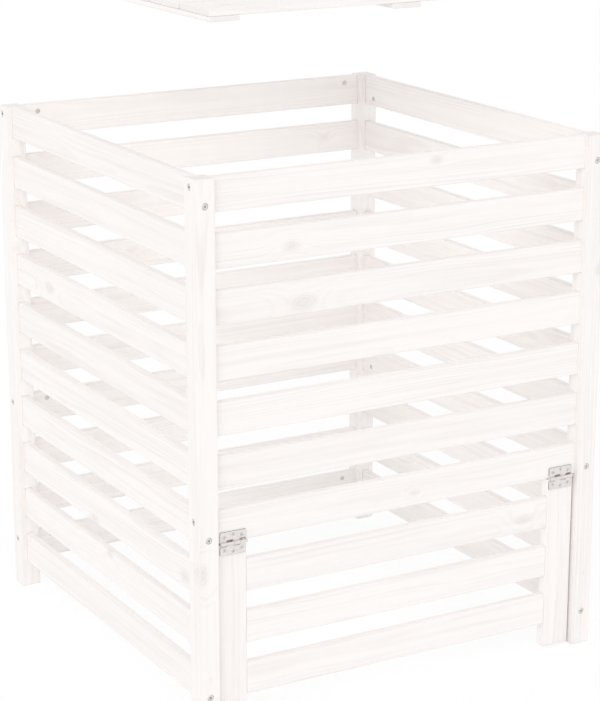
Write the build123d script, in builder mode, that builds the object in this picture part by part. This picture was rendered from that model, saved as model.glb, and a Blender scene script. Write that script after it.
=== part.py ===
from build123d import *
import os

# Slatted wooden compost bin: four posts, four walls of level slats, a hinged flap at the
# foot of the front wall, and a loose lid held above the rim.
# Millimetres, +Z up, X along the front, Y from front to back.
# The origin lies on the ground, midway between the four posts.

# Posts
bin_width = 825.0
bin_depth = 825.0
post_size = 38.0
post_edge_radius = 2.0
board_end_chamfer = 1.0

# Slats, counted from the top row down
slat_rows = 10
flap_rows = 3
slat_height = 60.0
slat_gap = 36.0
slat_thickness = 14.0
slat_edge_radius = 1.5
ground_clearance = 51.0
tenon_wall = 2.0
tenon_clearance = 0.15

# Bolts with barrel nuts, which hold the walls to the posts
bolt_radius = 3.0
bolt_hole_clearance = 0.3
bolt_head_radius = 5.6
bolt_head_height = 3.2
bolt_head_rounding = 1.4
bolt_socket_radius = 2.4
bolt_socket_depth = 2.0
bolt_row_offset = 15.5
bolt_past_nut = 4.0
bolt_head_clearance = 0.3
bolt_head_recess = 0.2
nut_radius = 5.0
nut_distance = 32.0
nut_clearance = 0.1
nut_skin = 1.5
nut_recess = 0.5
nut_slot_width = 1.4
nut_slot_depth = 1.2
thread_clearance = 0.05

# Flap
stile_width = 56.0
stile_thickness = 20.0
stile_edge_radius = 1.5
flap_side_gap = 3.0
flap_top_gap = 2.0
flap_ground_gap = 5.0
flap_tenon_depth = 12.0
flap_tenon_thickness = 8.0
flap_tenon_shoulder = 4.0

# Hinges
hinge_margin = 3.0
hinge_shift = 1.5
leaf_reach = 21.0
leaf_thickness = 1.8
leaf_corner_radius = 2.0
leaf_clearance = 3.0
knuckle_count = 4
knuckle_radius = 3.2
knuckle_gap = 0.4
hinge_face_gap = 0.3
knuckle_relief_depth = 6.0
pin_radius = 2.0
pin_clearance = 0.05
pin_head_step = 0.4
pin_head_length = 1.2
pin_head_gap = 0.3

# Countersunk screws of the hinges and the lid
screw_head_radius = 3.2
screw_shank_radius = 1.6
screw_clearance = 0.1
screw_tip_length = 2.0
screw_tip_radius = 0.3
screw_slot_width = 0.9
screw_slot_length = 4.0
screw_slot_depth = 1.0
hinge_screw_length = 12.0
hinge_screw_stagger = 2.0
lid_screw_cover = 3.0

# Lid
lid_lift = 248.0
lid_bearing = 7.5
lid_side_gap = 2.5
plank_count = 7
plank_gap = 8.0
plank_thickness = 11.0
plank_edge_radius = 1.5
batten_count = 3
batten_width = 55.0
batten_thickness = 9.0
batten_edge_radius = 1.5

# Places worked out from the sizes above
half_width = bin_width / 2
half_depth = bin_depth / 2
inner_half_width = half_width - post_size
inner_half_depth = half_depth - post_size
wall_x = half_width - post_size / 2
wall_y = half_depth - post_size / 2
row_pitch = slat_height + slat_gap
post_height = ground_clearance + slat_rows * slat_height + (slat_rows - 1) * slat_gap
all_rows = range(1, slat_rows + 1)
front_rows = range(1, slat_rows - flap_rows + 1)
bolted_rows = (1, slat_rows - flap_rows, slat_rows)
tenon_depth = post_size / 2 - slat_thickness / 2 - tenon_wall
counterbore_radius = bolt_head_radius + bolt_head_clearance
counterbore_depth = bolt_head_height + bolt_head_recess

front_face_y = -(wall_y + slat_thickness / 2)
hinge_axis_y = front_face_y - hinge_face_gap - knuckle_radius
flap_half_width = inner_half_width - flap_side_gap
stile_x = flap_half_width - stile_width / 2
stile_inner_x = flap_half_width - stile_width
hinge_x = stile_x - hinge_shift
hinge_width = stile_width - 2 * hinge_margin
plate_start = knuckle_radius + leaf_clearance
hinge_screw_spacing = hinge_width / 3
hinge_screw_reach = (plate_start + leaf_reach) / 2
hinge_pilot_depth = hinge_screw_length - leaf_thickness + screw_clearance
lid_screw_length = plank_thickness + batten_thickness - lid_screw_cover

os.makedirs("parts", exist_ok=True)


def row_middle(row):
    """Height of the middle of a slat row."""
    return post_height - (row - 1) * row_pitch - slat_height / 2


hinge_row_bottom = row_middle(front_rows[-1]) - slat_height / 2
hinge_axis_z = hinge_row_bottom - flap_top_gap / 2
stile_top = hinge_row_bottom - flap_top_gap


class Wall:
    """One side of the bin: its middle plane, its two directions and its slat rows."""

    def __init__(self, middle, along, inward, half_span, inner_span, rows, bolt_shift):
        self.middle = Vector(middle)
        self.along = Vector(along)
        self.inward = Vector(inward)
        self.half_span = half_span
        self.inner_span = inner_span
        self.rows = rows
        self.bolt_shift = bolt_shift

    def point(self, run, height, depth=0.0):
        """A point on the wall, by its run along it, its height and its depth inwards."""
        return self.middle + self.along * run + self.inward * depth + Vector(0, 0, height)

    def bolt_heights(self):
        """Heights of the bolts on this wall."""
        return [row_middle(row) + self.bolt_shift for row in self.rows if row in bolted_rows]

    def bolt_planes(self, end):
        """Planes on a post's outer face, facing out, one for each bolt at that end."""
        return [
            Plane(self.point(end * self.half_span, height), self.inward, self.along * end)
            for height in self.bolt_heights()
        ]

    def nut_planes(self, end):
        """Planes at the bolt's axis, facing in, one for each barrel nut at that end."""
        run = end * (self.inner_span - nut_distance)
        return [
            Plane(self.point(run, height), self.along, self.inward)
            for height in self.bolt_heights()
        ]


walls = {
    "front": Wall((0, -wall_y, 0), (1, 0, 0), (0, 1, 0), half_width, inner_half_width,
                  front_rows, bolt_row_offset),
    "back": Wall((0, wall_y, 0), (1, 0, 0), (0, -1, 0), half_width, inner_half_width,
                 all_rows, bolt_row_offset),
    "left": Wall((-wall_x, 0, 0), (0, 1, 0), (1, 0, 0), half_depth, inner_half_depth,
                 all_rows, -bolt_row_offset),
    "right": Wall((wall_x, 0, 0), (0, 1, 0), (-1, 0, 0), half_depth, inner_half_depth,
                  all_rows, -bolt_row_offset),
}
ends = (-1, 1)


def hinge_screw_planes(side, direction, depth):
    """Planes facing forward at a leaf's screws, for the leaf above or below the axis."""
    places = (
        (-hinge_screw_spacing, hinge_screw_reach - hinge_screw_stagger),
        (0, hinge_screw_reach + hinge_screw_stagger),
        (hinge_screw_spacing, hinge_screw_reach - hinge_screw_stagger),
    )
    return [
        Plane((side * hinge_x + shift, front_face_y - depth, hinge_axis_z + direction * reach),
              (1, 0, 0), (0, -1, 0))
        for shift, reach in places
    ]


knuckle_pitch = hinge_width / knuckle_count
leaf_kinds = {
    "frame": (1, range(0, knuckle_count, 2)),
    "flap": (-1, range(1, knuckle_count, 2)),
}


def knuckle_start(side, index):
    """Where a knuckle's place begins along the hinge, counted from its left end."""
    return side * hinge_x - hinge_width / 2 + index * knuckle_pitch


# Posts: a blind mortise for every slat and a counterbored hole for every bolt
for end_x in ends:
    for end_y in ends:
        name = f"post_{'front' if end_y < 0 else 'back'}_{'left' if end_x < 0 else 'right'}"
        cross_wall = walls["front"] if end_y < 0 else walls["back"]
        side_wall = walls["left"] if end_x < 0 else walls["right"]
        with BuildPart() as post:
            with BuildSketch():
                with Locations((end_x * wall_x, end_y * wall_y)):
                    Rectangle(post_size, post_size)
            extrude(amount=post_height)
            fillet(post.edges().filter_by(Axis.Z), post_edge_radius)
            chamfer(post.faces().filter_by(Axis.Z).edges(), board_end_chamfer)
            for wall, end in ((cross_wall, end_x), (side_wall, end_y)):
                for row in wall.rows:
                    mouth = wall.point(end * wall.inner_span, row_middle(row))
                    with BuildSketch(Plane(mouth, wall.inward, wall.along * end)):
                        Rectangle(slat_thickness + 2 * tenon_clearance,
                                  slat_height + 2 * tenon_clearance)
                extrude(amount=tenon_depth + tenon_clearance, mode=Mode.SUBTRACT)
                with Locations(*wall.bolt_planes(end)):
                    CounterBoreHole(bolt_radius + bolt_hole_clearance, counterbore_radius,
                                    counterbore_depth)
        post.part.label = name
        export_step(post.part, f"parts/{name}.step")

# Slats: the ends stand in the posts, and the bolted rows are bored for bolts and nuts.
# The slat above the flap is also relieved behind the flap's knuckles.
for wall_name, wall in walls.items():
    long_axis = Axis.X if wall.along.X else Axis.Y
    for row in wall.rows:
        name = f"{wall_name}_slat_{row:02d}"
        tip = wall.inner_span + tenon_depth
        with BuildPart() as slat:
            with BuildSketch(Plane(wall.point(0, row_middle(row)), wall.along, wall.inward)):
                Rectangle(2 * tip, slat_height)
            extrude(amount=slat_thickness / 2, both=True)
            fillet(slat.edges().filter_by(long_axis), slat_edge_radius)
            if row in bolted_rows:
                bolt_height = row_middle(row) + wall.bolt_shift
                nut_run = wall.inner_span - nut_distance
                for end in ends:
                    with Locations(Plane(wall.point(end * tip, bolt_height), wall.inward,
                                         wall.along * end)):
                        Hole(bolt_radius + bolt_hole_clearance,
                             tenon_depth + nut_distance + bolt_past_nut + bolt_hole_clearance)
                    with Locations(Plane(wall.point(end * nut_run, bolt_height, slat_thickness / 2),
                                         wall.along, wall.inward)):
                        Hole(nut_radius + nut_clearance, slat_thickness - nut_skin)
            if wall_name == "front" and row == front_rows[-1]:
                with Locations(*[plane for side in ends for plane in hinge_screw_planes(side, 1, 0)]):
                    Hole(screw_shank_radius + screw_clearance, hinge_pilot_depth)
                for side in ends:
                    for index in leaf_kinds["flap"][1]:
                        middle_x = knuckle_start(side, index) + knuckle_pitch / 2
                        relief_place = (middle_x, front_face_y, hinge_axis_z)
                        with BuildSketch(Plane(relief_place, (1, 0, 0), (0, 1, 0))):
                            Rectangle(knuckle_pitch, 2 * plate_start)
                extrude(amount=knuckle_relief_depth, mode=Mode.SUBTRACT)
        slat.part.label = name
        export_step(slat.part, f"parts/{name}.step")

# Bolts: domed heads with a hexagon socket, sunk in the posts
with BuildPart() as bolt:
    with BuildSketch():
        Circle(bolt_head_radius)
    extrude(amount=bolt_head_height)
    fillet(bolt.edges().sort_by(Axis.Z)[-1], bolt_head_rounding)
    with BuildSketch(Plane.XY.offset(bolt_head_height)):
        RegularPolygon(bolt_socket_radius, 6)
    extrude(amount=-bolt_socket_depth, mode=Mode.SUBTRACT)
    with BuildSketch():
        Circle(bolt_radius)
    extrude(amount=-(post_size - counterbore_depth + nut_distance + bolt_past_nut))

with BuildPart() as frame_bolts:
    for wall in walls.values():
        for end in ends:
            with Locations(*[plane.offset(-counterbore_depth) for plane in wall.bolt_planes(end)]):
                add(bolt.part)
frame_bolts.part.label = "frame_bolts"
export_step(frame_bolts.part, "parts/frame_bolts.step")

# Barrel nuts: let into the slats from inside, with a slot to turn them by
with BuildPart() as barrel_nut:
    with BuildSketch(Plane.XY.offset(nut_skin - slat_thickness / 2)):
        Circle(nut_radius)
    extrude(amount=slat_thickness - nut_skin - nut_recess)
    with BuildSketch(Plane.YZ):
        Circle(bolt_radius + thread_clearance)
    extrude(amount=nut_radius, both=True, mode=Mode.SUBTRACT)
    with BuildSketch(Plane.XY.offset(slat_thickness / 2 - nut_recess)):
        Rectangle(2 * nut_radius, nut_slot_width)
    extrude(amount=-nut_slot_depth, mode=Mode.SUBTRACT)

with BuildPart() as barrel_nuts:
    for wall in walls.values():
        for end in ends:
            with Locations(*wall.nut_planes(end)):
                add(barrel_nut.part)
barrel_nuts.part.label = "barrel_nuts"
export_step(barrel_nuts.part, "parts/barrel_nuts.step")

# Flap stiles: upright boards that hang from the hinges and hold the flap's slats
flap_tenon_height = slat_height - 2 * flap_tenon_shoulder
flap_slat_rows = all_rows[-flap_rows:]
stile_y = front_face_y + stile_thickness / 2
for side in ends:
    name = f"flap_stile_{'left' if side < 0 else 'right'}"
    with BuildPart() as stile:
        with BuildSketch(Plane.XY.offset(flap_ground_gap)):
            with Locations((side * stile_x, stile_y)):
                Rectangle(stile_width, stile_thickness)
        extrude(amount=stile_top - flap_ground_gap)
        fillet(stile.edges().filter_by(Axis.Z), stile_edge_radius)
        chamfer(stile.faces().filter_by(Axis.Z).edges(), board_end_chamfer)
        for row in flap_slat_rows:
            mouth = walls["front"].point(side * stile_inner_x, row_middle(row))
            with BuildSketch(Plane(mouth, (0, 1, 0), (side, 0, 0))):
                Rectangle(flap_tenon_thickness + 2 * tenon_clearance,
                          flap_tenon_height + 2 * tenon_clearance)
        extrude(amount=flap_tenon_depth + tenon_clearance, mode=Mode.SUBTRACT)
        with Locations(*hinge_screw_planes(side, -1, 0)):
            Hole(screw_shank_radius + screw_clearance, hinge_pilot_depth)
    stile.part.label = name
    export_step(stile.part, f"parts/{name}.step")

# Flap slats: the lowest rows of the front wall, tenoned into the stiles
for row in flap_slat_rows:
    name = f"flap_slat_{row:02d}"
    slat_plane = Plane(walls["front"].point(0, row_middle(row)), (1, 0, 0), (0, 1, 0))
    with BuildPart() as flap_slat:
        with BuildSketch(slat_plane):
            Rectangle(2 * stile_inner_x, slat_height)
        extrude(amount=slat_thickness / 2, both=True)
        fillet(flap_slat.edges().filter_by(Axis.X), slat_edge_radius)
        with BuildSketch(slat_plane):
            Rectangle(2 * (stile_inner_x + flap_tenon_depth), flap_tenon_height)
        extrude(amount=flap_tenon_thickness / 2, both=True)
    flap_slat.part.label = name
    export_step(flap_slat.part, f"parts/{name}.step")

# Hinge leaves: the frame leaf lies on the lowest fixed slat, the flap leaf on the stile
for leaf_kind, (direction, knuckles) in leaf_kinds.items():
    for side in ends:
        name = f"hinge_leaf_{leaf_kind}_{'left' if side < 0 else 'right'}"
        with BuildPart() as leaf:
            with BuildSketch(Plane((side * hinge_x, front_face_y, hinge_axis_z), (1, 0, 0), (0, -1, 0))):
                with Locations((0, direction * (plate_start + leaf_reach) / 2)):
                    Rectangle(hinge_width, leaf_reach - plate_start)
            extrude(amount=leaf_thickness)
            outer_end = leaf.edges().filter_by(Axis.Y).group_by(Axis.Z)[-1 if direction > 0 else 0]
            fillet(outer_end, leaf_corner_radius)
            for index in knuckles:
                with BuildSketch(Plane.YZ.offset(knuckle_start(side, index) + knuckle_gap / 2)):
                    with Locations((hinge_axis_y, hinge_axis_z)):
                        Circle(knuckle_radius)
                    with Locations((front_face_y - leaf_thickness / 2,
                                    hinge_axis_z + direction * plate_start / 2)):
                        Rectangle(leaf_thickness, plate_start)
                    with Locations((hinge_axis_y, hinge_axis_z)):
                        Circle(pin_radius + pin_clearance, mode=Mode.SUBTRACT)
            extrude(amount=knuckle_pitch - knuckle_gap)
            with Locations(*hinge_screw_planes(side, direction, leaf_thickness)):
                CounterSinkHole(screw_shank_radius + screw_clearance,
                                screw_head_radius + screw_clearance, counter_sink_angle=90)
        leaf.part.label = name
        export_step(leaf.part, f"parts/{name}.step")

# Hinge pins: headed at both ends
with BuildPart() as hinge_pins:
    for side in ends:
        pin_start = side * hinge_x - hinge_width / 2 - pin_head_gap
        pin_length = hinge_width + 2 * pin_head_gap
        with BuildSketch(Plane.YZ.offset(pin_start)):
            with Locations((hinge_axis_y, hinge_axis_z)):
                Circle(pin_radius)
        extrude(amount=pin_length)
        for head_start in (pin_start - pin_head_length, pin_start + pin_length):
            with BuildSketch(Plane.YZ.offset(head_start)):
                with Locations((hinge_axis_y, hinge_axis_z)):
                    Circle(knuckle_radius - pin_head_step)
            extrude(amount=pin_head_length)
hinge_pins.part.label = "hinge_pins"
export_step(hinge_pins.part, "parts/hinge_pins.step")


def make_screw(length):
    """A countersunk screw with a crossed slot, its head level with the XY plane."""
    head_depth = screw_head_radius - screw_shank_radius
    with BuildPart() as screw:
        with BuildSketch(Plane.XZ):
            with BuildLine():
                Polyline((0, 0), (screw_head_radius, 0), (screw_shank_radius, -head_depth),
                         (screw_shank_radius, screw_tip_length - length),
                         (screw_tip_radius, -length), (0, -length), close=True)
            make_face()
        revolve(axis=Axis.Z)
        with BuildSketch():
            Rectangle(screw_slot_length, screw_slot_width)
            Rectangle(screw_slot_width, screw_slot_length)
        extrude(amount=-screw_slot_depth, mode=Mode.SUBTRACT)
    return screw.part


# Hinge screws: one group holds the frame leaves, the other the flap leaves
hinge_screw = make_screw(hinge_screw_length)
for leaf_kind, (direction, knuckles) in leaf_kinds.items():
    with BuildPart() as hinge_screws:
        for side in ends:
            with Locations(*hinge_screw_planes(side, direction, leaf_thickness)):
                add(hinge_screw)
    hinge_screws.part.label = f"hinge_screws_{leaf_kind}"
    export_step(hinge_screws.part, f"parts/hinge_screws_{leaf_kind}.step")

# Lid: planks side by side on three battens, which lie on the front and back rims
lid_width = 2 * (inner_half_width - lid_side_gap)
lid_depth = 2 * (wall_y - slat_thickness / 2 + lid_bearing)
plank_width = (lid_depth - (plank_count - 1) * plank_gap) / plank_count
plank_pitch = plank_width + plank_gap
batten_pitch = (lid_width - batten_width) / (batten_count - 1)
batten_bottom = post_height + lid_lift
plank_bottom = batten_bottom + batten_thickness


def lid_screw_planes(height):
    """Planes facing down at that height, one for each screw that holds a plank to a batten."""
    return [
        Plane((batten.position.X, plank.position.Y + shift, height), (1, 0, 0), (0, 0, -1))
        for batten in GridLocations(batten_pitch, 1, batten_count, 1)
        for plank in GridLocations(1, plank_pitch, 1, plank_count)
        for shift in (-plank_width / 4, plank_width / 4)
    ]


with BuildPart() as lid_planks:
    with BuildSketch(Plane.XY.offset(plank_bottom)):
        with GridLocations(1, plank_pitch, 1, plank_count):
            Rectangle(lid_width, plank_width)
    extrude(amount=plank_thickness)
    fillet(lid_planks.edges().filter_by(Axis.X), plank_edge_radius)
    chamfer(lid_planks.faces().filter_by(Axis.X).edges(), board_end_chamfer)
    with Locations(*lid_screw_planes(plank_bottom)):
        Hole(screw_shank_radius + screw_clearance, lid_screw_length - batten_thickness + screw_clearance)
lid_planks.part.label = "lid_planks"
export_step(lid_planks.part, "parts/lid_planks.step")

with BuildPart() as lid_battens:
    with BuildSketch(Plane.XY.offset(batten_bottom)):
        with GridLocations(batten_pitch, 1, batten_count, 1):
            Rectangle(batten_width, lid_depth)
    extrude(amount=batten_thickness)
    fillet(lid_battens.edges().filter_by(Axis.Y).group_by(Axis.Z)[0], batten_edge_radius)
    with Locations(*lid_screw_planes(batten_bottom)):
        CounterSinkHole(screw_shank_radius + screw_clearance, screw_head_radius + screw_clearance,
                        batten_thickness, counter_sink_angle=90)
lid_battens.part.label = "lid_battens"
export_step(lid_battens.part, "parts/lid_battens.step")

lid_screw = make_screw(lid_screw_length)
with BuildPart() as lid_screws:
    with Locations(*lid_screw_planes(batten_bottom)):
        add(lid_screw)
lid_screws.part.label = "lid_screws"
export_step(lid_screws.part, "parts/lid_screws.step")
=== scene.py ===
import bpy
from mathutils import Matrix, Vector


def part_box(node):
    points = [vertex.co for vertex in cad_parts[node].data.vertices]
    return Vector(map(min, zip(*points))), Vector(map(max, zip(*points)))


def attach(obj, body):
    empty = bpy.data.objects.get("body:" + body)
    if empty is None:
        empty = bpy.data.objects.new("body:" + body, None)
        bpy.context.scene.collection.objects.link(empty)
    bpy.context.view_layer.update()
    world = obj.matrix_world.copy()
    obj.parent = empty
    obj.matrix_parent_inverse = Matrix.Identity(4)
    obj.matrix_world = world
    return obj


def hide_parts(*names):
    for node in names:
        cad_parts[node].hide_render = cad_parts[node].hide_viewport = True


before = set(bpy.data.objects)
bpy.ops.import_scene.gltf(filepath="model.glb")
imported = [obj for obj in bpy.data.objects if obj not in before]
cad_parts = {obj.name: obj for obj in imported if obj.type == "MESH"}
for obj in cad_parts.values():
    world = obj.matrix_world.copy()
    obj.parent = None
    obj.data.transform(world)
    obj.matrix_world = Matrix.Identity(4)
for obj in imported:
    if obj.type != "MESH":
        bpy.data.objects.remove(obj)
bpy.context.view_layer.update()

import math
import random

import bpy
import numpy as np
from bpy.props import FloatProperty, FloatVectorProperty, IntProperty, PointerProperty
from mathutils import Vector

bl_info = {
    "name": "Slatted compost bin",
    "version": (1, 0, 0),
    "blender": (4, 5, 0),
    "location": "View3D > Sidebar > Compost bin",
    "description": "Slatted garden compost bin in white-stained pine with zinc-plated fittings",
    "category": "Object",
}

# Walls: the axis that their boards run along, the way in, and how many fixed rows they have
WALLS = {
    "front": (0, Vector((0, 1, 0)), 7),
    "back": (0, Vector((0, -1, 0)), 10),
    "left": (1, Vector((1, 0, 0)), 10),
    "right": (1, Vector((-1, 0, 0)), 10),
}
POSTS = {
    "post_front_left": ("front", "left"),
    "post_front_right": ("front", "right"),
    "post_back_left": ("back", "left"),
    "post_back_right": ("back", "right"),
}
BOLTED_ROWS = (1, 7, 10)
PLAIN_ROW = 2
FLAP_ROWS = (8, 9, 10)
HINGE_ROW = 7

# Hinges: one on each side, with knuckles that the two leaves take in turn, and a leaf's screws
SIDES = ("left", "right")
FRAME_KNUCKLES = (0, 2)
FLAP_KNUCKLES = (1, 3)
KNUCKLES = len(FRAME_KNUCKLES) + len(FLAP_KNUCKLES)
LEAF_SCREWS = (-1, 0, 1)

# Places of a lid plank's two screws, as shares of its width
PLANK_SCREWS = (0.25, 0.75)

# Knots that stand out, by board: place along it, place across it and radius, in metres
KNOTS = {
    "front_slat_01": ((0.059, 0.016, 0.008),),
    "front_slat_02": ((-0.226, -0.007, 0.010),),
    "front_slat_03": ((-0.205, -0.010, 0.015),),
    "front_slat_07": ((0.024, -0.007, 0.005),),
    "flap_slat_08": ((0.263, -0.004, 0.010),),
    "left_slat_04": ((0.221, -0.002, 0.012),),
    "left_slat_08": ((-0.334, -0.009, 0.011), (0.043, -0.024, 0.011)),
    "left_slat_09": ((-0.025, 0.024, 0.008),),
    "back_slat_02": ((0.294, 0.001, 0.007),),
    "back_slat_04": ((-0.147, 0.007, 0.008),),
    "right_slat_05": ((-0.208, -0.007, 0.004),),
    "post_front_left": ((-0.194, -0.012, 0.011), (-0.388, 0.001, 0.002)),
    "post_front_right": ((0.240, 0.011, 0.008), (-0.345, 0.002, 0.002)),
}
KNOT_NAMES = ("first_knot", "second_knot")

# How far a knot goes along, across and through its board, in its radius, and one too far to show
KNOT_REACH = (1.9, 1.0, 3.0)
NO_KNOT = (9.0, 9.0, 0.01)

# Knots by chance: how often, how far out along and across, their radius, and boards without them
CHANCE_KNOT = 0.3
CHANCE_KNOT_SPREAD = (0.9, 0.7)
CHANCE_KNOT_RADIUS = (0.003, 0.008)
BARE_BOARDS = ("front_", "left_", "flap_", "post_front")

# A board's place in its log: along it, to the side of the pith, and away from the pith
LOG_RUN = 8.0
PITH_SIDE = 0.05
PITH_DISTANCE = (0.012, 0.07)

# Noise: waves per metre along, across and through a board, and detail
SWIRL = ((60.0, 60.0, 60.0), 3.0)
SPECKLE = ((500.0, 500.0, 500.0), 2.0)
WANDER = ((1.8, 10.0, 10.0), 2.0)
FIBRES = ((11.0, 560.0, 560.0), 3.0)
STREAKS = ((2.4, 75.0, 75.0), 3.0)
COVER = ((5.0, 24.0, 24.0), 3.0)
SCUFFS = ((160.0, 900.0, 900.0), 3.0)
BLOOM_SCALE = 420.0

# Growth rings: how far they wander, how unevenly they are spaced, and how far a knot pushes them
RING_WANDER = 0.026
UNEVEN_SCALE = 90.0
RING_UNEVENNESS = 2.4
KNOT_PUSH = 0.010

# Knots: how far their outline strays, and the number and depth of their own rings
KNOT_WOBBLE = 0.4
KNOT_RING_TURNS = 17.0
KNOT_RING_DEPTH = 0.16

# How a finish or the steel's painted shade sets in: the values that it starts and ends at, then its
# amounts there, or 0 and 1
KNOT_CORE = (0.95, 0.3, 0.35, 0.8)
KNOT_FLECKS = (0.45, 0.75, -0.1, 0.35)
KNOT_INSIDE = (1.35, 0.8)
KNOT_SWELL = (3.6, 0.4)
LATE_START = (0.3, 0.9)
LATE_END = (1.0, 0.93)
RINGS_SHOWN = (0.3, 0.7, 0.15, 0.85)
FIBRES_SHOWN = (0.48, 0.8, 0.0, 0.4)
STREAKS_SHOWN = (0.4, 0.75, 0.0, 0.45)
EDGES_SHOWN = (0.35, 0.65, 0.1, 0.7)
BLOOM_SHOWN = (0.1, 0.8)
SCUFFS_SHOWN = (0.45, 0.8, 0.0, 0.4)
EDGE_SHADE_SHOWN = (0.3, 0.6, 0.75, 1.0)

# Shares of a finish in the colour, and how much the years differ: spread and least
TONE_SHARE = 0.12
END_SHARE = 0.7
KNOT_SHARE = 0.9
BLOOM_SHARE = 0.35
YEARS = (0.8, 0.2)

# Plated steel: shades of its dull spots and of the dark copy of its colour for painted shade, and
# the depths and strength of the painted shade in bolt sockets
DULL_SHADE = 0.72
PAINTED_SHADE_FACTOR = 0.28
SOCKET_DEPTHS = (0.0008, 0.0018)
SOCKET_PAINTED_SHADE = 0.6

# Roughness: what the grain or the dull spots add, and the least
WOOD_ROUGHNESS = (0.12, 0.5)
STEEL_ROUGHNESS = (0.25, 0.3)
FLOOR_ROUGHNESS = 0.9
WOOD_SPECULAR = 0.3

# Bump: strength and depth in metres, and how far fibres, late wood and knots stand out
WOOD_BUMP = (0.3, 0.0004)
STEEL_BUMP = (0.15, 0.0002)
FIBRE_RISE = 0.6
LATE_RISE = -0.6
KNOT_RISE = -0.5

# Parts of its normal from which a face counts as pointing along an axis, and as flat
FACING = 0.9
FLAT = 0.98

# Fineness of round shapes, and the angles from which an edge is rounded or shaded sharp
ROUND_SIDES = 40
FLOOR_SIDES = 96
EDGE_STEPS = 3
CORNER_STEPS = 6
SHARP_ANGLE = math.radians(50)
SMOOTH_ANGLE = math.radians(40)

# Easing of the hinges' edges, in metres
EASED_PLATE = 0.0003
EASED_KNUCKLE = 0.00025
EASED_PIN = 0.0002
EASED_HEAD = 0.0004

# Small lengths, in metres
CUTTER_LIFT = 0.001
CONE_TIP = 0.0001
STRAP_OVERLAP = 0.001
STRAP_INSET = 0.00002
PIN_CLEARANCE = 0.00005
PIN_INSET = 0.0003
RIM_START = 0.0005
NEAR = 1e-6

# Long side of the camera's sensor, in millimetres
SENSOR_WIDTH = 36.0


class COMPOSTBIN_PG_wood(bpy.types.PropertyGroup):
    """Boards: their finish, and the fits that show."""

    stain_colour: FloatVectorProperty(
        name="Stain", description="Colour of the white stain on clear wood",
        subtype="COLOR", size=3, min=0, max=1, default=(0.955, 0.923, 0.905))
    grain_colour: FloatVectorProperty(
        name="Grain", description="Colour of the darker growth rings under the stain",
        subtype="COLOR", size=3, min=0, max=1, default=(0.88, 0.84, 0.813))
    knot_colour: FloatVectorProperty(
        name="Knots", description="Colour of the knots under the stain",
        subtype="COLOR", size=3, min=0, max=1, default=(0.82, 0.77, 0.738))
    end_colour: FloatVectorProperty(
        name="End grain", description="Colour of the sawn ends, which soak up more stain",
        subtype="COLOR", size=3, min=0, max=1, default=(0.86, 0.825, 0.805))
    ring_spacing: FloatProperty(
        name="Ring spacing", description="Distance between growth rings",
        unit="LENGTH", min=0.001, default=0.0052)
    edge_radius: FloatProperty(
        name="Edge radius", description="Rounding of the boards' edges",
        unit="LENGTH", min=0, default=0.0018)
    joint_gap: FloatProperty(
        name="Joint gap", description="Clearance round a board's end in its mortise",
        unit="LENGTH", min=0, default=0.00015)


class COMPOSTBIN_PG_fittings(bpy.types.PropertyGroup):
    """Metal fittings: colours, and the bores that take them."""

    zinc_colour: FloatVectorProperty(
        name="Zinc", description="Colour of the zinc-plated hinges",
        subtype="COLOR", size=3, min=0, max=1, default=(0.86, 0.815, 0.80))
    bolt_colour: FloatVectorProperty(
        name="Bolts", description="Colour of the bolts' heads",
        subtype="COLOR", size=3, min=0, max=1, default=(0.82, 0.80, 0.785))
    nut_colour: FloatVectorProperty(
        name="Nuts and screws", description="Colour of the barrel nuts and the screws",
        subtype="COLOR", size=3, min=0, max=1, default=(0.75, 0.73, 0.72))
    bolt_rise: FloatProperty(
        name="Bolt rise", description="Height of a bolt above or below the middle of its slat",
        unit="LENGTH", default=0.0155)
    bolt_bore: FloatProperty(
        name="Bolt bore", description="Radius of the hole that takes a bolt's head",
        unit="LENGTH", min=0, default=0.0059)
    bolt_bore_depth: FloatProperty(
        name="Bolt bore depth", description="Depth of the hole that takes a bolt's head",
        unit="LENGTH", min=0, default=0.0034)
    nut_bore: FloatProperty(
        name="Nut bore", description="Radius of the hole that takes a barrel nut",
        unit="LENGTH", min=0, default=0.0051)
    nut_distance: FloatProperty(
        name="Nut distance", description="From a post's inner face to the middle of a barrel nut",
        unit="LENGTH", min=0, default=0.032)
    nut_skin: FloatProperty(
        name="Nut skin", description="Wood left between a barrel nut and the outer face",
        unit="LENGTH", min=0, default=0.0015)


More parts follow.
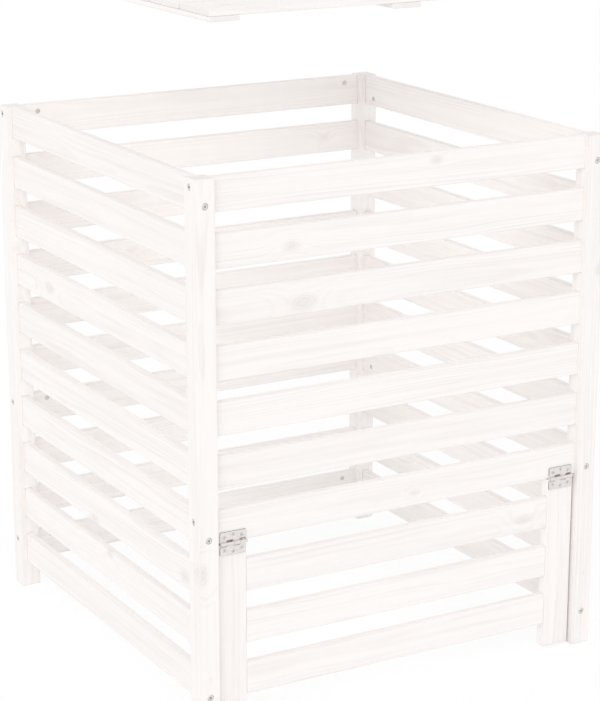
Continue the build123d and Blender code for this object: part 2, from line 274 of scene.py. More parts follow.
class COMPOSTBIN_PG_hinges(bpy.types.PropertyGroup):
    """The flap's two butt hinges, and the pockets behind them."""

    leaf_thickness: FloatProperty(
        name="Leaf", description="Thickness of a leaf",
        unit="LENGTH", min=0, default=0.0018)
    plate_start: FloatProperty(
        name="Plate start", description="From the pin's middle to the inner edge of a leaf's plate",
        unit="LENGTH", min=0, default=0.0062)
    corner_radius: FloatProperty(
        name="Corner radius", description="Rounding of a leaf's outer corners",
        unit="LENGTH", min=0, default=0.002)
    knuckle_radius: FloatProperty(
        name="Knuckle radius", description="Radius of the knuckles",
        unit="LENGTH", min=0, default=0.0032)
    knuckle_gap: FloatProperty(
        name="Knuckle gap", description="Gap between two knuckles",
        unit="LENGTH", min=0, default=0.0004)
    pin_radius: FloatProperty(
        name="Pin radius", description="Radius of the pins",
        unit="LENGTH", min=0, default=0.002)
    pin_head_length: FloatProperty(
        name="Pin head length", description="Length of a pin's head",
        unit="LENGTH", min=0, default=0.0012)
    pin_head_radius: FloatProperty(
        name="Pin head radius", description="Radius of a pin's head",
        unit="LENGTH", min=0, default=0.0028)
    screw_seat: FloatProperty(
        name="Screw seat", description="Radius of the countersink of a leaf's screw",
        unit="LENGTH", min=0, default=0.0033)
    screw_stagger: FloatProperty(
        name="Screw stagger", description="How far a leaf's screws stand out of line",
        unit="LENGTH", min=0, default=0.002)
    pocket_depth: FloatProperty(
        name="Pocket depth", description="Depth of the pockets behind the flap's knuckles",
        unit="LENGTH", min=0, default=0.006)
    pocket_height: FloatProperty(
        name="Pocket height", description="Height of the pockets behind the flap's knuckles",
        unit="LENGTH", min=0, default=0.0052)


class COMPOSTBIN_PG_lid(bpy.types.PropertyGroup):
    """The loose lid."""

    plank_count: IntProperty(
        name="Planks", description="Number of planks side by side", min=1, default=7)
    plank_gap: FloatProperty(
        name="Plank gap", description="Gap between two planks",
        unit="LENGTH", min=0, default=0.008)
    batten_count: IntProperty(
        name="Battens", description="Number of battens under the planks", min=2, default=3)
    batten_width: FloatProperty(
        name="Batten width", description="Width of a batten",
        unit="LENGTH", min=0, default=0.055)
    countersink: FloatProperty(
        name="Countersink", description="Radius of the seat of a screw's head",
        unit="LENGTH", min=0, default=0.0033)


class COMPOSTBIN_PG_stage(bpy.types.PropertyGroup):
    """Floor, light and camera."""

    floor_colour: FloatVectorProperty(
        name="Floor", description="Colour of the floor",
        subtype="COLOR", size=3, min=0, max=1, default=(0.95, 0.95, 0.95))
    floor_radius: FloatProperty(
        name="Floor radius", description="Radius of the floor",
        unit="LENGTH", min=1, default=40.0)
    white_share: FloatProperty(
        name="White share", description="Share of plain white in the floor, over its shadows",
        subtype="FACTOR", min=0, max=1, default=0.84)
    white_level: FloatProperty(
        name="White level", description="Level of the floor's plain white", min=0, default=1.01)
    sky_level: FloatProperty(
        name="Sky", description="Level of the even light from all sides", min=0, default=0.9)
    lamp_level: FloatProperty(
        name="Lamp", description="Level of the soft lamp", min=0, default=0.61)
    lamp_place: FloatVectorProperty(
        name="Lamp place", description="Where the soft lamp's light comes from",
        subtype="DIRECTION", size=3, default=(-0.6, -0.6, 0.53))
    lamp_width: FloatProperty(
        name="Lamp width", description="How wide the soft lamp is, as an angle",
        subtype="ANGLE", min=0, default=math.radians(40))
    inner_level: FloatProperty(
        name="Inner lamps", description="Level of each of the two soft lamps inside the bin",
        unit="POWER", min=0, default=0.72)
    inner_colour: FloatVectorProperty(
        name="Inner lamps' colour", description="Colour of the lamps inside the bin",
        subtype="COLOR", size=3, min=0, max=1, default=(0.91, 0.955, 1.0))
    inner_shift: FloatProperty(
        name="Inner lamps' shift", description="How far forward and left of the middle they stand",
        unit="LENGTH", min=0, default=0.03)
    inner_heights: FloatVectorProperty(
        name="Inner lamps' heights", description="Heights of the lower and the upper lamp inside",
        unit="LENGTH", size=2, min=0, default=(0.2, 0.78))
    inner_radius: FloatProperty(
        name="Inner lamps' radius", description="Radius of the lamps inside the bin",
        unit="LENGTH", min=0, default=0.15)
    camera_place: FloatVectorProperty(
        name="Camera place", description="Where the camera stands",
        subtype="TRANSLATION", unit="LENGTH", size=3, default=(-2.010, -3.569, 1.702))
    camera_turn: FloatProperty(
        name="Camera turn", description="Turn to the right from looking along the depth",
        subtype="ANGLE", default=math.radians(29.60))
    camera_tilt: FloatProperty(
        name="Camera tilt", description="Tilt down from level",
        subtype="ANGLE", default=math.radians(15.97))
    camera_lens: FloatProperty(
        name="Lens", description="Focal length in millimetres on a 36 mm long side",
        unit="CAMERA", min=1, default=115.0)


def add_node(tree, kind, inputs=None, **options):
    """Adds a node, sets its options, and fills its sockets with values or links."""
    made = tree.nodes.new(kind)
    for key, value in options.items():
        setattr(made, key, value)
    for key, value in (inputs or {}).items():
        if isinstance(value, bpy.types.NodeSocket):
            tree.links.new(value, made.inputs[key])
        else:
            made.inputs[key].default_value = value
    return made


def read_attribute(tree, name, output="Fac"):
    """A value that a piece carries on its points or faces."""
    return add_node(tree, "ShaderNodeAttribute", attribute_name=name).outputs[output]


def sums(tree, operation, *values, clamp=False):
    """One step of arithmetic between numbers or sockets."""
    inputs = dict(enumerate(values))
    return add_node(tree, "ShaderNodeMath", inputs, operation=operation, use_clamp=clamp).outputs[0]


def vector_sums(tree, operation, *values):
    """One step of arithmetic between vectors; a length comes out as a number."""
    made = add_node(tree, "ShaderNodeVectorMath", dict(enumerate(values)), operation=operation)
    return made.outputs["Value" if operation == "LENGTH" else "Vector"]


def ease(tree, value, start, end, low=0.0, high=1.0):
    """Runs smoothly from low to high as the value goes from start to end."""
    inputs = {"Value": value, "From Min": start, "From Max": end, "To Min": low, "To Max": high}
    made = add_node(tree, "ShaderNodeMapRange", inputs, interpolation_type="SMOOTHSTEP")
    return made.outputs[0]


def stretched_noise(tree, place, scale, detail):
    """Noise that is drawn out by a scale of its own along each axis."""
    mapped = vector_sums(tree, "MULTIPLY", place, scale)
    return add_node(tree, "ShaderNodeTexNoise", {"Vector": mapped, "Scale": 1.0, "Detail": detail})


def tint(tree, share, first, second):
    """Mixes two colours by a share."""
    made = add_node(tree, "ShaderNodeMix", data_type="RGBA")
    for socket, value in zip([s for s in made.inputs if s.enabled], (share, first, second)):
        if isinstance(value, bpy.types.NodeSocket):
            tree.links.new(value, socket)
        else:
            socket.default_value = value if isinstance(value, float) else (*value, 1.0)
    return [s for s in made.outputs if s.enabled][0]


def add_bump(tree, shader, strength, distance, height):
    """Lets a height stand out of the surface."""
    inputs = {"Strength": strength, "Distance": distance, "Height": height}
    bump = add_node(tree, "ShaderNodeBump", inputs)
    tree.links.new(bump.outputs["Normal"], shader.inputs["Normal"])


def new_material(name):
    """An empty material with its shader."""
    material = bpy.data.materials.new(name)
    material.use_nodes = True
    return material, material.node_tree, material.node_tree.nodes["Principled BSDF"]


def stained_pine(wood):
    """White-stained pine: growth rings about the pith of each board's own log, fibres and knots."""
    material, tree, shader = new_material("white_stained_pine")
    place = read_attribute(tree, "log_place", "Vector")
    tone = read_attribute(tree, "board_tone")
    ends = read_attribute(tree, "sawn_end")
    edges = read_attribute(tree, "worn_edge")

    # Knots: how far a point lies from each, in knot radii
    swirl = stretched_noise(tree, place, *SWIRL).outputs["Fac"]
    wobble = sums(tree, "MULTIPLY_ADD", swirl, 2 * KNOT_WOBBLE, -KNOT_WOBBLE)
    speckle = stretched_noise(tree, place, *SPECKLE).outputs["Fac"]
    flecks = ease(tree, speckle, *KNOT_FLECKS)
    knot, swell = 0.0, 0.0
    for name in KNOT_NAMES:
        reach = vector_sums(tree, "LENGTH", read_attribute(tree, name, "Vector"))
        reach = sums(tree, "ADD", reach, wobble)
        rings = sums(tree, "COSINE", sums(tree, "MULTIPLY", reach, KNOT_RING_TURNS))
        rings = sums(tree, "MULTIPLY_ADD", rings, KNOT_RING_DEPTH, ease(tree, reach, *KNOT_CORE))
        rings = sums(tree, "ADD", rings, flecks)
        rings = sums(tree, "MULTIPLY", rings, ease(tree, reach, *KNOT_INSIDE))
        knot = sums(tree, "MAXIMUM", knot, rings)
        swell = sums(tree, "MAXIMUM", swell, ease(tree, reach, *KNOT_SWELL))

    # Growth rings: they wander along the board, bulge round a knot and differ in width
    wander = stretched_noise(tree, place, *WANDER).outputs["Color"]
    shift = vector_sums(tree, "SUBTRACT", wander, (0.5, 0.5, 0.5))
    shift = vector_sums(tree, "MULTIPLY", shift, (0.0, RING_WANDER, RING_WANDER))
    bent = vector_sums(tree, "ADD", place, shift)
    radius = vector_sums(tree, "LENGTH", vector_sums(tree, "MULTIPLY", bent, (0.0, 1.0, 1.0)))
    radius = sums(tree, "MULTIPLY_ADD", swell, KNOT_PUSH, radius)
    run = sums(tree, "MULTIPLY", radius, UNEVEN_SCALE)
    uneven = add_node(tree, "ShaderNodeTexNoise", {"W": run, "Scale": 1.0, "Detail": 1.0},
                      noise_dimensions="1D").outputs["Fac"]
    count = sums(tree, "DIVIDE", radius, wood.ring_spacing)
    count = sums(tree, "ADD", count, sums(tree, "MULTIPLY", uneven, RING_UNEVENNESS))
    part = sums(tree, "FRACT", count)
    year = add_node(tree, "ShaderNodeTexWhiteNoise", {"W": sums(tree, "FLOOR", count)},
                    noise_dimensions="1D").outputs["Value"]
    late = sums(tree, "MULTIPLY", ease(tree, part, *LATE_START), ease(tree, part, *LATE_END))
    late = sums(tree, "MULTIPLY", late, sums(tree, "MULTIPLY_ADD", year, *YEARS))

    # Stain: it covers the late wood unevenly, and shows fibres, streaks and the board's own tone
    fibres = stretched_noise(tree, place, *FIBRES).outputs["Fac"]
    streaks = stretched_noise(tree, place, *STREAKS).outputs["Fac"]
    cover = stretched_noise(tree, place, *COVER).outputs["Fac"]
    grain = sums(tree, "MULTIPLY", late, ease(tree, cover, *RINGS_SHOWN))
    grain = sums(tree, "ADD", grain, ease(tree, fibres, *FIBRES_SHOWN))
    grain = sums(tree, "ADD", grain, ease(tree, streaks, *STREAKS_SHOWN))
    grain = sums(tree, "ADD", grain, sums(tree, "MULTIPLY", tone, TONE_SHARE), clamp=True)
    # The stain wears thin on the rounded edges
    edge_wear_and_shade = sums(tree, "MULTIPLY", edges, ease(tree, cover, *EDGES_SHOWN))

    knot_share = sums(tree, "MULTIPLY", knot, KNOT_SHARE, clamp=True)
    colour = tint(tree, sums(tree, "MAXIMUM", grain, edge_wear_and_shade), wood.stain_colour, wood.grain_colour)
    colour = tint(tree, sums(tree, "MULTIPLY", ends, END_SHARE), colour, wood.end_colour)
    colour = tint(tree, knot_share, colour, wood.knot_colour)
    tree.links.new(colour, shader.inputs["Base Color"])
    roughness = sums(tree, "MULTIPLY_ADD", grain, *WOOD_ROUGHNESS)
    tree.links.new(roughness, shader.inputs["Roughness"])
    shader.inputs["Specular IOR Level"].default_value = WOOD_SPECULAR

    height = sums(tree, "MULTIPLY", fibres, FIBRE_RISE)
    height = sums(tree, "MULTIPLY_ADD", late, LATE_RISE, height)
    height = sums(tree, "MULTIPLY_ADD", knot, KNOT_RISE, height)
    add_bump(tree, shader, *WOOD_BUMP, height)
    return material


def plated_steel(name, colour, head_face=None):
    """Zinc-plated steel: a soft bloom, fine scuffs, uneven gloss, and painted shade on its marked
    edges and in bolt sockets.
    """
    material, tree, shader = new_material(name)
    place = add_node(tree, "ShaderNodeTexCoord").outputs["Object"]
    edge = read_attribute(tree, "painted_edge_shade")
    # Painted shade in the bolts' sockets: points deeper than the head's face are darkened
    if head_face is not None:
        parts = add_node(tree, "ShaderNodeSeparateXYZ", {"Vector": place}).outputs
        sides = [sums(tree, "ABSOLUTE", parts[axis]) for axis in ("X", "Y")]
        start, end = [head_face - depth for depth in SOCKET_DEPTHS]
        socket = ease(tree, sums(tree, "MAXIMUM", *sides), start, end, 0.0, SOCKET_PAINTED_SHADE)
        edge = sums(tree, "MAXIMUM", edge, socket)

    bloom = add_node(tree, "ShaderNodeTexVoronoi",
                     {"Vector": place, "Scale": BLOOM_SCALE, "Randomness": 1.0},
                     feature="SMOOTH_F1").outputs["Distance"]
    scuffs = stretched_noise(tree, place, *SCUFFS).outputs["Fac"]
    dull = ease(tree, scuffs, *SCUFFS_SHOWN)
    dull = sums(tree, "MULTIPLY_ADD", ease(tree, bloom, *BLOOM_SHOWN), BLOOM_SHARE, dull)
    # Painted shade: the marked edges and sockets are mixed towards a dark copy of the colour,
    # broken up by the scuffs
    edge_wear_and_shade = sums(tree, "MULTIPLY", edge, ease(tree, scuffs, *EDGE_SHADE_SHOWN))
    dark = tuple(DULL_SHADE * channel for channel in colour)
    painted_shade_colour = tuple(PAINTED_SHADE_FACTOR * channel for channel in colour)
    plate = tint(tree, dull, tuple(colour), dark)
    tree.links.new(tint(tree, edge_wear_and_shade, plate, painted_shade_colour), shader.inputs["Base Color"])
    roughness = sums(tree, "MULTIPLY_ADD", dull, *STEEL_ROUGHNESS)
    tree.links.new(roughness, shader.inputs["Roughness"])
    shader.inputs["Metallic"].default_value = 1.0
    add_bump(tree, shader, *STEEL_BUMP, scuffs)
    return material


def material_of(name, maker, *values):
    """The material of that name, made when it is first asked for."""
    return bpy.data.materials.get(name) or maker(*values)


def pine():
    return material_of("white_stained_pine", stained_pine, bpy.context.scene.compost_bin_wood)


def zinc():
    colour = bpy.context.scene.compost_bin_fittings.zinc_colour
    return material_of("zinc_plate", plated_steel, "zinc_plate", colour)


def bolt_steel():
    colour = bpy.context.scene.compost_bin_fittings.bolt_colour
    head_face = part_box("frame_bolts")[1].x
    return material_of("bolt_plate", plated_steel, "bolt_plate", colour, head_face)


def nut_steel():
    colour = bpy.context.scene.compost_bin_fittings.nut_colour
    return material_of("nut_plate", plated_steel, "nut_plate", colour)


def pick(*objects):
    """Selects only these objects, the first one active."""
    bpy.ops.object.select_all(action="DESELECT")
    for each in objects:
        each.select_set(True)
    bpy.context.view_layer.objects.active = objects[0]


def settle():
    """Puts the selected object's place, turn and size into its mesh, and gives the object."""
    bpy.ops.object.transform_apply(location=True, rotation=True, scale=True)
    return bpy.context.object


def rename(piece, name):
    """Names a piece and its mesh alike."""
    piece.name = name
    piece.data.name = name
    return piece


def add_block(name, low, high):
    """A block between two corners."""
    low, high = Vector(low), Vector(high)
    bpy.ops.object.select_all(action="DESELECT")
    bpy.ops.mesh.primitive_cube_add(size=1, location=(low + high) / 2)
    bpy.context.object.scale = high - low
    return rename(settle(), name)


def add_drill(place, direction, radius, depth, tip_radius=None):
    """A round or tapered cutter that goes into a piece at a point on its face."""
    tip_radius = radius if tip_radius is None else tip_radius
    turn = Vector(direction).to_track_quat("Z", "Y").to_euler()
    flare = radius + (radius - tip_radius) * CUTTER_LIFT / depth
    middle = Vector(place) + Vector(direction) * (CUTTER_LIFT - depth) / 2
    bpy.ops.object.select_all(action="DESELECT")
    bpy.ops.mesh.primitive_cone_add(vertices=ROUND_SIDES, radius1=tip_radius, radius2=flare,
                                    depth=depth + CUTTER_LIFT, location=middle, rotation=turn)
    return settle()


def add_countersink(place, direction, radius):
    """A cutter for the seat of a countersunk screw."""
    return add_drill(place, direction, radius, radius - CONE_TIP, CONE_TIP)


def add_rod(start, length, radius, eased):
    """A round rod along X with eased ends."""
    bpy.ops.object.select_all(action="DESELECT")
    bpy.ops.mesh.primitive_cylinder_add(
        vertices=ROUND_SIDES, radius=radius, depth=length, rotation=(0, math.pi / 2, 0),
        location=Vector(start) + Vector((length / 2, 0, 0)))
    rod = settle()
    round_edges(rod, eased)
    return rod


def round_edges(piece, radius, chosen=None, segments=EDGE_STEPS):
    """Rounds the sharp edges of a piece, or those that a test on their two ends picks out."""
    pick(piece)
    bpy.ops.object.mode_set(mode="EDIT")
    bpy.ops.mesh.select_mode(type="EDGE")
    bpy.ops.mesh.select_all(action="DESELECT")
    if chosen is None:
        bpy.ops.mesh.edges_select_sharp(sharpness=SHARP_ANGLE)
    else:
        bpy.ops.object.mode_set(mode="OBJECT")
        points = piece.data.vertices
        for edge in piece.data.edges:
            edge.select = chosen(*[points[index].co for index in edge.vertices])
        bpy.ops.object.mode_set(mode="EDIT")
    bpy.ops.mesh.bevel(offset=radius, segments=segments, profile=0.5, affect="EDGES")
    bpy.ops.object.mode_set(mode="OBJECT")


def combine(piece, other, operation):
    """Takes another solid out of a piece, or makes one solid of the two."""
    pick(piece)
    bpy.ops.object.modifier_add(type="BOOLEAN")
    modifier = piece.modifiers[-1]
    modifier.operation = operation
    modifier.solver = "EXACT"
    modifier.object = other
    bpy.ops.object.modifier_apply(modifier=modifier.name)
    bpy.data.objects.remove(other)


def join(pieces):
    """Makes one object of several, which is the first of them."""
    pick(*pieces)
    if len(pieces) > 1:
        bpy.ops.object.join()
    return pieces[0]


def cut(board, cutters):
    """Takes cutters out of a board."""
    combine(board, join(cutters), "DIFFERENCE")


def copy_board(board, name, shift):
    """A copy of a board with a mesh of its own, moved along."""
    pick(board)
    bpy.ops.object.duplicate(linked=False)
    bpy.ops.transform.translate(value=shift)
    return rename(settle(), name)


def mark_grain(board, key):
    """Gives a board its place in its log, its knots and tone, and marks its ends and edges."""
    chance = random.Random(key)
    mesh = board.data
    points = np.zeros(len(mesh.vertices) * 3)
    mesh.vertices.foreach_get("co", points)
    points = points.reshape(-1, 3)
    low, high = points.min(0), points.max(0)
    along, across, through = np.argsort(low - high)
    if abs((high - low)[across] - (high - low)[through]) < NEAR:
        across, through = sorted((across, through))
    local = (points - (low + high) / 2)[:, [along, across, through]]

    pith = (chance.uniform(-LOG_RUN, LOG_RUN), chance.uniform(-PITH_SIDE, PITH_SIDE),
            chance.choice((-1, 1)) * chance.uniform(*PITH_DISTANCE))
    knots = list(KNOTS.get(key, ()))
    half = (high - low)[[along, across, through]] / 2
    outer = math.copysign(half[2], (low + high)[through])
    far_run, far_side = CHANCE_KNOT_SPREAD
    while len(knots) < len(KNOT_NAMES):
        if chance.random() < CHANCE_KNOT and not key.startswith(BARE_BOARDS):
            knots.append((chance.uniform(-far_run, far_run) * half[0],
                          chance.uniform(-far_side, far_side) * half[1],
                          chance.uniform(*CHANCE_KNOT_RADIUS)))
        else:
            knots.append(NO_KNOT)

    def write(name, kind, domain, field, values):
        made = mesh.attributes.new(name, kind, domain)
        made.data.foreach_set(field, np.ascontiguousarray(values, np.float32).ravel())

    write("log_place", "FLOAT_VECTOR", "POINT", "vector", local - np.array(pith))
    for name, (run, side, radius) in zip(KNOT_NAMES, knots):
        from_knot = (local - np.array((run, side, outer))) / (radius * np.array(KNOT_REACH))
        write(name, "FLOAT_VECTOR", "POINT", "vector", from_knot)
    write("board_tone", "FLOAT", "POINT", "value", np.full(len(points), chance.uniform(-1, 1)))
    normals = np.zeros(len(mesh.polygons) * 3)
    mesh.polygons.foreach_get("normal", normals)
    normals = np.abs(normals.reshape(-1, 3))
    write("sawn_end", "FLOAT", "FACE", "value", normals[:, along] > FACING)
    write("worn_edge", "FLOAT", "FACE", "value", normals.max(1) < FLAT)


def soften(piece):
    """Smooth rounded edges between flat faces."""
    pick(piece)
    bpy.ops.object.shade_smooth_by_angle(angle=SMOOTH_ANGLE)
    bpy.ops.object.modifier_add(type="WEIGHTED_NORMAL")
    piece.modifiers[-1].keep_sharp = True
    bpy.ops.object.modifier_apply(modifier=piece.modifiers[-1].name)


def place_piece(piece, node, body, material):
    """Finishes a piece and puts it in place of its CAD node."""
    soften(piece)
    piece.data.materials.clear()
    piece.data.materials.append(material)
    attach(piece, body)
    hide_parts(node)


def place_board(board, node, body):
    """Finishes a wooden piece and puts it in place of its CAD node."""
    place_piece(board, node, body, pine())


def dress_node(node, material):
    """Gives a CAD node its material."""
    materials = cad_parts[node].data.materials
    materials.clear()
    materials.append(material)


def slat_name(wall, row):
    return f"{wall}_slat_{row:02d}"


def bolt_height(wall, row):
    """Height of the bolts in a row: those along X lie above the middle, those along Y below."""
    low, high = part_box(slat_name(wall, row))
    rise = bpy.context.scene.compost_bin_fittings.bolt_rise
    return (low.z + high.z) / 2 + (rise if WALLS[wall][0] == 0 else -rise)


def bolted_rows(wall):
    return [row for row in BOLTED_ROWS if row <= WALLS[wall][2]]


class COMPOSTBIN_OT_posts(bpy.types.Operator):
    """Model the four corner posts, with their mortises and bolt holes"""

    bl_idname = "compost_bin.posts"
    bl_label = "Posts"

    def execute(self, context):
        wood = context.scene.compost_bin_wood
        for node, walls in POSTS.items():
            low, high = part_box(node)
            post = add_block(node + "_board", low, high)
            round_edges(post, wood.edge_radius)
            cutters = []
            for wall in walls:
                cutters += self.mortises(wall) + self.bolt_holes(wall, low, high)
            cut(post, cutters)
            mark_grain(post, node)
            place_board(post, node, "frame")
        return {"FINISHED"}

    def mortises(self, wall):
        """Cutters for the ends of a wall's slats"""
        gap = Vector((1, 1, 1)) * bpy.context.scene.compost_bin_wood.joint_gap
        cutters = []
        for row in range(1, WALLS[wall][2] + 1):
            slat_low, slat_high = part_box(slat_name(wall, row))
            cutters.append(add_block("mortise", slat_low - gap, slat_high + gap))
        return cutters

    def bolt_holes(self, wall, low, high):
        """Cutters for the heads of a wall's bolts, in a post between two corners"""
        fittings = bpy.context.scene.compost_bin_fittings
        axis = WALLS[wall][0]
        middle = (low + high) / 2
        outward = Vector((0, 0, 0))
        outward[axis] = math.copysign(1, middle[axis])
        cutters = []
        for row in bolted_rows(wall):
            place = Vector((middle.x, middle.y, bolt_height(wall, row)))
            place[axis] = high[axis] if middle[axis] > 0 else low[axis]
            cutters.append(add_drill(place, outward, fittings.bolt_bore, fittings.bolt_bore_depth))
        return cutters


class COMPOSTBIN_OT_wall_slats(bpy.types.Operator):
    """Model the fixed slats of the four walls"""

    bl_idname = "compost_bin.wall_slats"
    bl_label = "Wall slats"

    def execute(self, context):
        wood = context.scene.compost_bin_wood
        bored_row = BOLTED_ROWS[0]
        for wall, (_, _, rows) in WALLS.items():
            plain_low, plain_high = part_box(slat_name(wall, PLAIN_ROW))
            plain = add_block("plain_slat", plain_low, plain_high)
            round_edges(plain, wood.edge_radius)
            bored_low, bored_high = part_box(slat_name(wall, bored_row))
            bored = add_block("bored_slat", bored_low, bored_high)
            round_edges(bored, wood.edge_radius)
            cut(bored, self.nut_holes(wall, bored_row))
            for row in range(1, rows + 1):
                node = slat_name(wall, row)
                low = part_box(node)[0]
                source, start = (bored, bored_low) if row in BOLTED_ROWS else (plain, plain_low)
                slat = copy_board(source, node + "_board", low - start)
                if wall == "front" and row == HINGE_ROW:
                    cut(slat, self.pockets(low))
                mark_grain(slat, node)
                place_board(slat, node, "frame")
            bpy.data.objects.remove(plain)
            bpy.data.objects.remove(bored)
        return {"FINISHED"}

    def nut_holes(self, wall, row):
        """Cutters for the two barrel nuts of a bolted slat, from the inside of the bin"""
        fittings = bpy.context.scene.compost_bin_fittings
        axis, inward, _ = WALLS[wall]
        low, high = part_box(slat_name(wall, row))
        post_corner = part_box("post_front_left")[1]
        thickness = abs((high - low).dot(inward))
        depth = thickness - fittings.nut_skin
        cutters = []
        for end in (-1, 1):
            place = (low + high) / 2 + inward * thickness / 2
            place[axis] = end * (-post_corner[axis] - fittings.nut_distance)
            place.z = bolt_height(wall, row)
            cutters.append(add_drill(place, inward, fittings.nut_bore, depth))
        return cutters

    def pockets(self, low):
        """Cutters for the pockets behind the flap's knuckles, from the slat's lowest corner"""
        hinge = bpy.context.scene.compost_bin_hinges
        cutters = []
        for side in SIDES:
            leaf_low, leaf_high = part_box(f"hinge_leaf_flap_{side}")
            pitch = (leaf_high.x - leaf_low.x) / KNUCKLES
            for place in FLAP_KNUCKLES:
                start = leaf_low.x + place * pitch
                cutters.append(add_block(
                    "pocket", (start, low.y - CUTTER_LIFT, low.z - CUTTER_LIFT),
                    (start + pitch, low.y + hinge.pocket_depth, low.z + hinge.pocket_height)))
        return cutters


class COMPOSTBIN_OT_flap(bpy.types.Operator):
    """Model the flap: two stiles and the slats between them"""

    bl_idname = "compost_bin.flap"
    bl_label = "Flap"

    def execute(self, context):
        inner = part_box("flap_stile_left")[1].x
        for node in ("flap_stile_left", "flap_stile_right"):
            self.board(node, *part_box(node))
        for row in FLAP_ROWS:
            node = slat_name("flap", row)
            low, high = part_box(node)
            self.board(node, (inner, low.y, low.z), (-inner, high.y, high.z))
        return {"FINISHED"}

    def board(self, node, low, high):
        """One board of the flap"""
        made = add_block(node + "_board", low, high)
        round_edges(made, bpy.context.scene.compost_bin_wood.edge_radius)
        mark_grain(made, node)
        place_board(made, node, "flap")


class COMPOSTBIN_OT_hinges(bpy.types.Operator):
    """Model the hinges' leaves and pins, and finish their screws"""

    bl_idname = "compost_bin.hinges"
    bl_label = "Hinges"

    def execute(self, context):
        pins = []
        for side in SIDES:
            self.leaf(f"hinge_leaf_frame_{side}", "frame", 1, FRAME_KNUCKLES)
            axis = self.leaf(f"hinge_leaf_flap_{side}", "flap", -1, FLAP_KNUCKLES)
            pins.append(self.pin(axis, f"hinge_leaf_flap_{side}"))
        rods = rename(join(pins), "hinge_pins_rods")
        place_piece(rods, "hinge_pins", "frame", zinc())
        for node in ("hinge_screws_frame", "hinge_screws_flap"):
            dress_node(node, nut_steel())
        return {"FINISHED"}

    def leaf(self, node, body, way, places):
        """A plate with knuckles, the pin's bore and countersinks; gives the middle of the pin"""
        hinge = bpy.context.scene.compost_bin_hinges
        low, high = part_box(node)
        width = high.x - low.x
        outer, inner = (high.z, low.z) if way > 0 else (low.z, high.z)
        axis = Vector(((low.x + high.x) / 2, low.y + hinge.knuckle_radius,
                       inner + way * hinge.knuckle_radius))
        front = high.y - hinge.leaf_thickness
        start = axis.z + way * hinge.plate_start
        plate = add_block(node + "_plate", (low.x, front, min(start, outer)),
                          (high.x, high.y, max(start, outer)))

        def at_corner(one, other):
            return abs(one.z - outer) + abs(other.z - outer) + abs(one.x - other.x) < NEAR

        round_edges(plate, hinge.corner_radius, at_corner, CORNER_STEPS)
        round_edges(plate, EASED_PLATE)

        pitch = width / KNUCKLES
        length = pitch - hinge.knuckle_gap
        bottom, top = sorted((axis.z, start + way * STRAP_OVERLAP))
        for place in places:
            left = low.x + place * pitch + hinge.knuckle_gap / 2
            strap = add_block("strap", (left, front + STRAP_INSET, bottom),
                              (left + length, high.y - STRAP_INSET, top))
            combine(plate, strap, "UNION")
            knuckle = add_rod((left, axis.y, axis.z), length, hinge.knuckle_radius, EASED_KNUCKLE)
            combine(plate, knuckle, "UNION")
        bore = add_drill((low.x, axis.y, axis.z), (-1, 0, 0), hinge.pin_radius + PIN_CLEARANCE,
                         width + CUTTER_LIFT)
        combine(plate, bore, "DIFFERENCE")
        middle = (start + outer) / 2
        for step in LEAF_SCREWS:
            rise = middle + way * hinge.screw_stagger * (1 if step == 0 else -1)
            place = (axis.x + step * width / len(LEAF_SCREWS), front, rise)
            seat = add_countersink(place, (0, -1, 0), hinge.screw_seat)
            combine(plate, seat, "DIFFERENCE")

        # Painted shade: the plate's edge faces and screw seats are marked here, to be darkened in
        # the steel's colour
        made = plate.data.attributes.new("painted_edge_shade", "FLOAT", "FACE")
        for face, mark in zip(plate.data.polygons, made.data):
            on_rim = way * (face.center.z - start) > RIM_START
            mark.value = on_rim and abs(face.normal.y) < FACING
        place_piece(plate, node, body, zinc())
        return axis

    def pin(self, axis, node):
        """A pin with a head at both ends"""
        hinge = bpy.context.scene.compost_bin_hinges
        low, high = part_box(node)
        pins_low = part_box("hinge_pins")[0]
        spare = abs(pins_low.x) - max(abs(low.x), abs(high.x))
        start = low.x - spare
        length = high.x - low.x + 2 * spare
        rod = add_rod((start + PIN_INSET, axis.y, axis.z), length - 2 * PIN_INSET,
                      hinge.pin_radius, EASED_PIN)
        for place in (start, start + length - hinge.pin_head_length):
            head = add_rod((place, axis.y, axis.z), hinge.pin_head_length,
                           hinge.pin_head_radius, EASED_HEAD)
            combine(rod, head, "UNION")
        return rod


class COMPOSTBIN_OT_bolts(bpy.types.Operator):
    """Finish the bolts and barrel nuts"""

    bl_idname = "compost_bin.bolts"
    bl_label = "Bolts and nuts"

    def execute(self, context):
        dress_node("frame_bolts", bolt_steel())
        dress_node("barrel_nuts", nut_steel())
        return {"FINISHED"}


